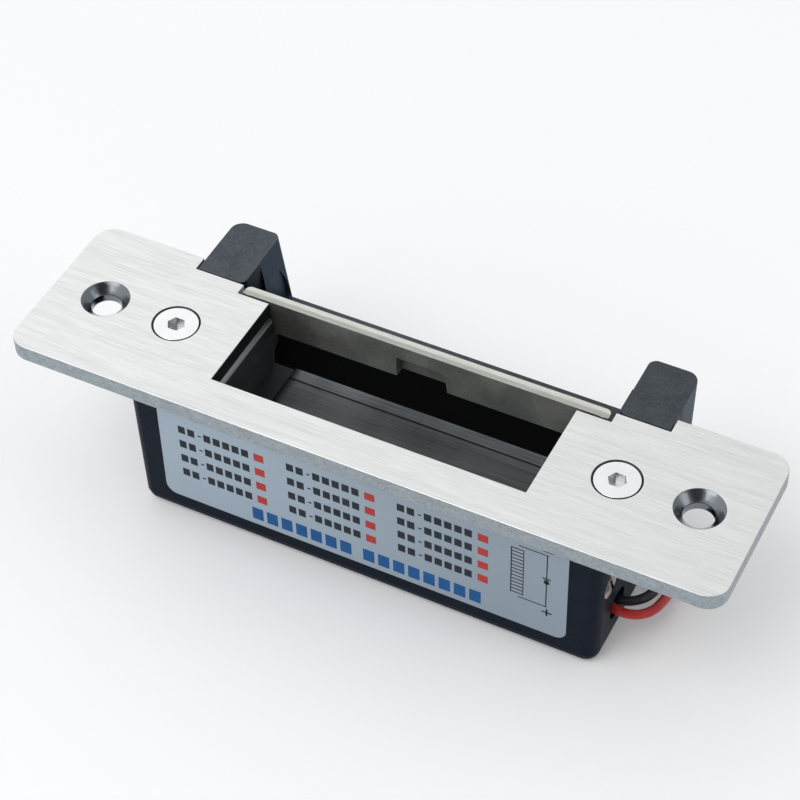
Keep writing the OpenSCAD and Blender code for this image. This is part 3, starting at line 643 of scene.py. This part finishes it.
class STRIKE_OT_casting(StrikeOperator, bpy.types.Operator):
    """Make the cast body with its horns, its bottom cover and their screws"""

    bl_idname = "strike.casting"
    bl_label = "Casting"

    def coat(self, colours):
        """Satin coat with painted light: lighter on the ribs, and a lighter, mottled top face on the horns and on
        the ledge.
        """
        made = Finish("casting_coat", colours.casting, 0.42, Specular_IOR_Level=0.07)
        x, y, z = made.axes()
        # painted light: the up-facing faces of the horns' tops and of the ledge, lit from above, get a lighter
        # tone; their mottling is the surface's own texture
        up = made.ramp(made.facing()[2], 0.85, 0.97)
        ledge = made.between(z, -14.3, -13.85, 0.1) * made.ramp(y, 19.5, 20.5)
        face = up * (made.ramp(z, -1.2, -0.3) + ledge)
        peel = made.noise(2.2, 4, 0.6)
        pits = made.noise(1.1, 5, 0.75, shift=(3, 5, 1))
        cloud = made.noise(0.25, 4, 0.6)
        coat = made.shade(made.ramp(cloud, 0.3, 0.7), 0.92, 1.1)
        # painted light: behind y 18.5, where the horns' sloping ribs face the light, the coat is lighter
        coat = made.mix(made.ramp(y, 18.3, 18.7) * (0.8 + peel * 0.4), coat, colours.casting_rib)
        specks = made.noise(4.5, 2, 0.6)
        tone = made.ramp(pits * 0.4 + cloud * 0.25 + specks * 0.35, 0.36, 0.64)
        # painted light: the lit tops grow brighter towards -X, the side the light comes from
        tone = tone * made.ramp(x, -20, 20, 1.0, 0.7) + made.ramp(x, -20, 20, 0.25, 0.0)
        dark, light = ([c * level for c in colours.casting_face] for level in (0.66, 1.35))
        ground = made.mix(tone, dark, light)
        made.feed(Base_Color=made.mix(face, coat, ground),
                  Roughness=made.ramp(peel, 0.3, 0.7, 0.36, 0.5) + face * 0.12)
        return made.bump(peel * 0.5 + pits * 0.5 * face + cloud * 0.2, 0.012)

    def bare(self, colours):
        """Bare casting of the pocket, with a painted highlight along its upper edge and painted shade at the
        bottom.
        """
        made = Finish("pocket_bare", colours.pocket, 0.5, 0.0, Specular_IOR_Level=0.3)
        peel = made.noise(2.4, 3, 0.6)
        z = made.axes()[2] + peel * 0.15
        wall = made.shade(made.ramp(made.noise(0.3, 3), 0.3, 0.7), 0.85, 1.2)
        # painted highlight: a bright band along the walls' rounded upper edge, above z -4
        wall = made.mix(made.ramp(z, -4.25, -3.75), wall, colours.ridge_highlight)
        # painted shade: the bottom strip, below z -13.5, is darkened halfway to the casting's coat
        low = made.mix(0.45, colours.casting, colours.pocket)
        made.feed(Base_Color=made.mix(made.ramp(z, -13.6, -13.3), low, wall))
        return made.bump(peel, 0.012)

    def build(self, scene, sizes, colours):
        bm = copy_of("housing")
        bmesh.ops.bisect_plane(bm, geom=bm.verts[:] + bm.edges[:] + bm.faces[:], dist=0.001 * MM,
                               plane_co=(0, LEDGE_FRONT * MM, 0), plane_no=(0, 1, 0))
        soften(bm, sizes.cast_edge / MM, 2, 40,
               lambda p: abs(p.x) > POCKET_HALF and p.y > HORN_FRONT and p.z > HORN_LOW)
        # painted shade: the faces under and behind the keeper get a near-black finish
        deep_shade = moulded("pocket_deep", [c * 0.06 for c in colours.pocket], 0.7, 0.1, 0.008,
                       Specular_IOR_Level=0.02)
        paint(bm, 1, lambda n, c: in_pocket(c, POCKET_FRONT, WALL_BACK))
        paint(bm, 2, lambda n, c: in_pocket(c, DEEP_FRONT, LEDGE_FRONT) and abs(n.x) < 0.9)
        piece(bm, "casting", "body", [self.coat(colours), self.bare(colours), deep_shade], "housing", 18)
        cover = moulded("cover_coat", colours.casting, 0.4)
        bottom = soften(copy_of("bottom_cover"), 0.15, 2, 40)
        piece(bottom, "underside_cover", "body", [cover], "bottom_cover")
        screw = plain_metal("zinc_screw", colours.zinc, 0.35)
        screws = soften(copy_of("cover_screws"), sizes.screw_edge / MM, 1, 40)
        piece(screws, "underside_screws", "body", [screw], "cover_screws")
        nickel = plain_metal("nickel_screw", colours.screw, 0.22)
        piece(soften(copy_of("end_screw"), 0.2, 3, 40), "side_screw", "body", [nickel], "end_screw")


class STRIKE_OT_pocket(StrikeOperator, bpy.types.Operator):
    """Finish the wear plate on the pocket's floor"""

    bl_idname = "strike.pocket"
    bl_label = "Pocket floor"

    def build(self, scene, sizes, colours):
        made = Finish("wear_brushed", colours.wear, 0.42, 1.0)
        lines = made.noise(1.0, 4, 0.65, (0.05, 2.6, 1.0))
        fine = made.noise(1.0, 3, 0.6, (0.15, 6.0, 1.0), (4, 2, 0))
        smear = made.noise(0.16, 3, 0.5, (1.0, 0.35, 1.0), (2, 9, 0))
        tone = lines * 0.5 + fine * 0.25 + smear * 0.25
        x, y, _ = made.axes()
        # painted shade: a thin dark line at y 8.4, where a step crosses the floor
        joggle_shade = made.between(y, 8.25, 8.65, 0.08)
        # painted light: a broad lighter diagonal band on the left half of the floor
        light_patch = made.between(x + y * 0.6, -20.5, -6, 3.0)
        shade = made.shade(made.ramp(tone, 0.3, 0.7) * 0.75 + light_patch * 0.25, 0.6, 1.6)
        # painted shade and reflection: the floor darkens towards the dark left wall, left of x -21, with a fuzzy
        # border
        wall_shade = made.ramp(x + smear * 3, -22.0, -20.0)
        shade = made.mix(wall_shade, [c * 0.5 for c in colours.pocket], shade)
        made.feed(Base_Color=made.mix(joggle_shade * 0.7, shade, colours.joggle_shade),
                  Roughness=made.ramp(tone, 0.3, 0.7, 0.5, 0.34))
        made.bump(lines * 0.5 + fine * 0.5, 0.006)
        dress("pocket_floor", made)


class STRIKE_OT_keeper(StrikeOperator, bpy.types.Operator):
    """Make the keeper and its hinge pins"""

    bl_idname = "strike.keeper"
    bl_label = "Keeper"

    def build(self, scene, sizes, colours):
        bm = soften(copy_of("keeper"), sizes.keeper_edge / MM, 2, 40)
        cast = Finish("keeper_cast", colours.keeper, 0.55, 0.75)
        grain = cast.noise(2.6, 4, 0.65)
        cloud = cast.noise(0.16, 4, 0.55)
        x, _, z = cast.axes()
        tone = cast.ramp(grain * 0.4 + cloud * 0.6, 0.34, 0.66) * 0.6 + cast.ramp(x, -33, -8) * 0.4
        # painted shade: below z -7, under the keeper's lower edge, its faces take the dark seat colour
        cast.feed(Base_Color=cast.mix(cast.ramp(z, -7.6, -7.0), colours.seat, cast.shade(tone, 0.48, 1.28)),
                  Roughness=cast.ramp(cloud, 0.3, 0.7, 0.46, 0.62))
        cast.bump(grain, 0.012)
        top = Finish("keeper_ground", colours.ground, 0.4, 1.0)
        lines = top.ramp(top.noise(1.0, 4, 0.6, (0.25, 2.0, 2.0)), 0.3, 0.7)
        # painted highlight: the ground top is darker at the front and bright along the rear edge
        rear_highlight = top.ramp(top.axes()[1], 11.7, 12.2)
        top.feed(Base_Color=top.shade(lines * 0.3 + rear_highlight * 0.7, 0.62, 1.15)).bump(lines, 0.004)
        paint(bm, 1, lambda n, c: n.z > 0.3 and c.z > -0.5)
        piece(bm, "keeper_bar", "keeper", [cast, top], "keeper")
        dress("hinge_pins", turned("pin_oxide", colours.seat, 0.4, "X", (0, HINGE_Y, HINGE_Z)))


class STRIKE_OT_springs(StrikeOperator, bpy.types.Operator):
    """Make the keeper's spring and the plunger's spring"""

    bl_idname = "strike.springs"
    bl_label = "Springs"

    KEEPER_X, KEEPER_R, KEEPER_PITCH, KEEPER_TURNS, KEEPER_WIRE = 31.85, 2.2, 0.72, 3, 0.6
    # the keeper spring's straight arm: how far each point lies to the left and above the hinge
    KEEPER_ARM = ((0.2, 3.6), (0.15, 2.4), (0.1, 1.2))
    PLUNGER_R, PLUNGER_TURNS, PLUNGER_WIRE = 3.8, 5, 0.5

    def build(self, scene, sizes, colours):
        steel = plain_metal("spring_steel", colours.zinc, 0.3)
        arm = [(self.KEEPER_X - left, HINGE_Y + self.KEEPER_R, HINGE_Z + above)
               for left, above in self.KEEPER_ARM]
        turns = coil((self.KEEPER_X, HINGE_Y, HINGE_Z), self.KEEPER_R, self.KEEPER_PITCH, self.KEEPER_TURNS)
        placed(wire("keeper_coil", [arm + turns], self.KEEPER_WIRE, steel), "body", "keeper_spring")

        low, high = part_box("plunger_spring")
        start = (low.x / MM + self.PLUNGER_WIRE / 2, SOLENOID_Y, SOLENOID_Z)
        pitch = ((high - low).x / MM - self.PLUNGER_WIRE) / self.PLUNGER_TURNS
        turns = coil(start, self.PLUNGER_R, pitch, self.PLUNGER_TURNS)
        curve = wire("plunger_coil_path", [turns], self.PLUNGER_WIRE, steel)
        spring = bpy.data.objects.new("plunger_coil", bpy.data.meshes.new_from_object(curve))
        bpy.data.objects.remove(curve)
        placed(spring, "body", "plunger_spring")
        travel = max(frame_joint("plunger_slide")["range_m"])
        1 - travel / (high - low).x
        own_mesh(spring)


class STRIKE_OT_label(StrikeOperator, bpy.types.Operator):
    """Make the foil label and its plain print"""

    bl_idname = "strike.label"
    bl_label = "Label"

    # right end, height of the top row and height of the bottom row of each column
    COLUMNS, ROWS = ((-17.8, -10.84, -21.07), (2.2, -10.3, -20.5), (22.0, -10.1, -19.9)), 4
    TICK, TICK_GAP = (1.8, 1.7), 1.9
    CODE, CODE_GAP, CODE_HEIGHT = (1.3,) * 5 + (0.6,) + (1.3, 1.3), 0.45, 1.65
    TITLE, TITLE_GAP, TITLE_HEIGHT = (2.05,) * 8 + (0.0,) + (2.05,) * 7, 0.67, 2.8
    TITLE_X, TITLE_Z, DASH_HEIGHT, SPACE = 21.7, -25.0, 0.3, 0.8
    WINDINGS, WINDING_TOP, WINDING_STEP, WINDING = 14, -9.5, 0.82, (27.9, 2.0, 0.22)
    # x, z, width and height of each line of the sketch: spines, wires, diode, minus and plus
    LINES = ((26.85, -14.9, 0.2, 11.0), (28.95, -14.9, 0.14, 11.0), (30.6, -8.6, 5.0, 0.2),
             (30.6, -21.0, 5.0, 0.2), (32.9, -14.8, 0.2, 12.4), (32.9, -14.2, 1.4, 0.3),
             (32.9, -15.0, 0.9, 0.9), (33.0, -7.7, 1.7, 0.3), (33.1, -22.4, 1.7, 0.32),
             (33.1, -22.4, 0.32, 1.7))

    def foil(self, colours):
        made = Finish("label_foil", colours.label, 0.4, 0.25)
        fibre = made.noise(2.0, 3, 0.5, (0.6, 1, 2.0))
        cloud = made.noise(0.07, 2, 0.5)
        # painted light: the foil darkens towards +X, as less light reaches that end
        light_falloff = made.ramp(made.axes()[0], -30, 36, 1.0, 0.0)
        made.feed(Base_Color=made.shade(cloud * 0.15 + fibre * 0.1 + light_falloff * 0.75, 0.63, 0.89),
                  Roughness=made.ramp(fibre, 0.3, 0.7, 0.36, 0.46))
        return made.bump(fibre, 0.004)

    def build(self, scene, sizes, colours):
        piece(soften(copy_of("product_label"), 0.04, 1, 60), "label_sheet", "body", [self.foil(colours)],
              "product_label")
        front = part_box("product_label")[0].y / MM
        self.back, self.front = front + 0.01, front - sizes.ink / MM
        bm = bmesh.new()
        for x, top, low in self.COLUMNS:
            for row in range(self.ROWS):
                z = top + (low - top) * row / (self.ROWS - 1)
                self.bar(bm, x, z, *self.TICK, 1)
                self.words(bm, x - self.TICK_GAP, z, self.CODE, self.CODE_GAP, self.CODE_HEIGHT, 0)
        self.words(bm, self.TITLE_X, self.TITLE_Z, self.TITLE, self.TITLE_GAP, self.TITLE_HEIGHT, 2)
        self.sketch(bm)
        inks = [moulded("ink_" + kind, getattr(colours, "label_" + kind), 0.5, Specular_IOR_Level=0.12)
                for kind in ("line", "box", "title")]
        piece(bm, "label_print", "body", inks)

    def bar(self, bm, x, z, width, height, ink):
        """One printed rectangle round a centre."""
        low = (x - width / 2, self.front, z - height / 2)
        high = (x + width / 2, self.back, z + height / 2)
        return box_in(bm, low, high, ink)

    def words(self, bm, x, z, widths, gap, height, ink):
        """A row of blocks from x towards -X: a width up to 1 is a dash, and 0 is a space."""
        for width in widths:
            if width > 1:
                self.bar(bm, x - width / 2, z, width, height, ink)
            elif width > 0:
                self.bar(bm, x - width / 2, z, width, self.DASH_HEIGHT, ink)
            x -= max(width, self.SPACE) + gap

    def sketch(self, bm):
        """A coil with a diode beside it."""
        x, width, height = self.WINDING
        for i in range(self.WINDINGS):
            self.bar(bm, x, self.WINDING_TOP - i * self.WINDING_STEP, width, height, 0)
        for line in self.LINES:
            self.bar(bm, *line, 0)


class STRIKE_OT_solenoid(StrikeOperator, bpy.types.Operator):
    """Finish the solenoid, the lock lever and the wiring inside"""

    bl_idname = "strike.solenoid"
    bl_label = "Solenoid and lock"

    def winding(self, colours):
        made = Finish("winding_wire", colours.copper, 0.3, 0.9)
        x = made.axes()[0]
        turns = made.maths("SINE", x * (2 * pi / 0.24)) * 0.5 + 0.5
        # painted shade: the copper is darker in the grooves between the turns
        made.feed(Base_Color=made.shade(turns * 0.7 + made.noise(0.6) * 0.3, 0.55, 1.1))
        return made.bump(turns, 0.03)

    def film(self, colours):
        made = Finish("winding_tape", colours.tape, 0.25, 0.0, Coat_Weight=0.4)
        x, _, z = made.axes()
        laps = made.ramp(made.maths("SINE", (x + z * 0.4) * 0.7), 0.9, 0.99)
        single = made.shade(made.noise(0.3), 0.85, 1.15)
        made.feed(Base_Color=made.mix(laps, single, [c * 0.6 for c in made.colour]))
        return made.bump(laps, 0.04)

    def build(self, scene, sizes, colours):
        axis = (0, SOLENOID_Y, SOLENOID_Z)
        bm = soften(copy_of("solenoid_frame"), 0.12, 1, 40)
        piece(bm, "solenoid_yoke", "body", [plain_metal("yoke_zinc", colours.zinc, 0.4)], "solenoid_frame")
        dress("coil_bobbin", moulded("bobbin_plastic", colours.bobbin, 0.5))
        dress("coil_winding", self.winding(colours))
        dress("coil_tape", self.film(colours))
        dress("fixed_core", turned("core_turned", colours.zinc, 0.3, "X", axis))
        piece(soften(copy_of("plunger"), 0.12, 2, 40), "plunger_rod", "plunger",
              [turned("plunger_turned", colours.zinc, 0.28, "X", axis)], "plunger")
        dress("plunger_pin", turned("pin_turned", colours.zinc, 0.25, "Z", (PIN_X, SOLENOID_Y, 0)))
        piece(soften(copy_of("lock_lever"), 0.12, 2, 40), "lever_arm", "lever",
              [plain_metal("lever_zinc", colours.yellow_zinc, 0.38)], "lock_lever")
        dress("lever_post", turned("post_turned", colours.zinc, 0.28, "Z", (POST_X, POST_Y, 0)))
        dress("lever_clip", plain_metal("clip_black", colours.black_steel, 0.45))
        dress("suppression_diode", moulded("diode_body", colours.diode, 0.3))
        dress("splice_sleeves", moulded("sleeve_shrink", colours.black, 0.55))


class STRIKE_PT_panel(bpy.types.Panel):
    """Sizes, colours and steps of the strike"""

    bl_label = "Door strike"
    bl_idname = "STRIKE_PT_panel"
    bl_space_type = "VIEW_3D"
    bl_region_type = "UI"
    bl_category = "Strike"

    def draw(self, context):
        for title, group in (("Sizes", context.scene.strike_sizes), ("Colours", context.scene.strike_colours)):
            box = self.layout.box()
            box.label(text=title)
            for name in group.__annotations__:
                box.prop(group, name)
        for operator in OPERATORS:
            self.layout.operator(operator.bl_idname)


OPERATORS = (STRIKE_OT_stage, STRIKE_OT_leads, STRIKE_OT_faceplate, STRIKE_OT_plate_screws, STRIKE_OT_casting,
             STRIKE_OT_pocket, STRIKE_OT_keeper, STRIKE_OT_springs, STRIKE_OT_label, STRIKE_OT_solenoid)
CLASSES = (StrikeSizes, StrikeColours, *OPERATORS, STRIKE_PT_panel)


def register():
    for cls in CLASSES:
        bpy.utils.register_class(cls)
    bpy.types.Scene.strike_sizes = PointerProperty(type=StrikeSizes)
    bpy.types.Scene.strike_colours = PointerProperty(type=StrikeColours)


def unregister():
    del bpy.types.Scene.strike_colours
    del bpy.types.Scene.strike_sizes
    for cls in reversed(CLASSES):
        bpy.utils.unregister_class(cls)


def main():
    register()
    for operator in OPERATORS:
        getattr(bpy.ops.strike, operator.bl_idname.split(".")[1])()


if __name__ == "__main__":
    main()
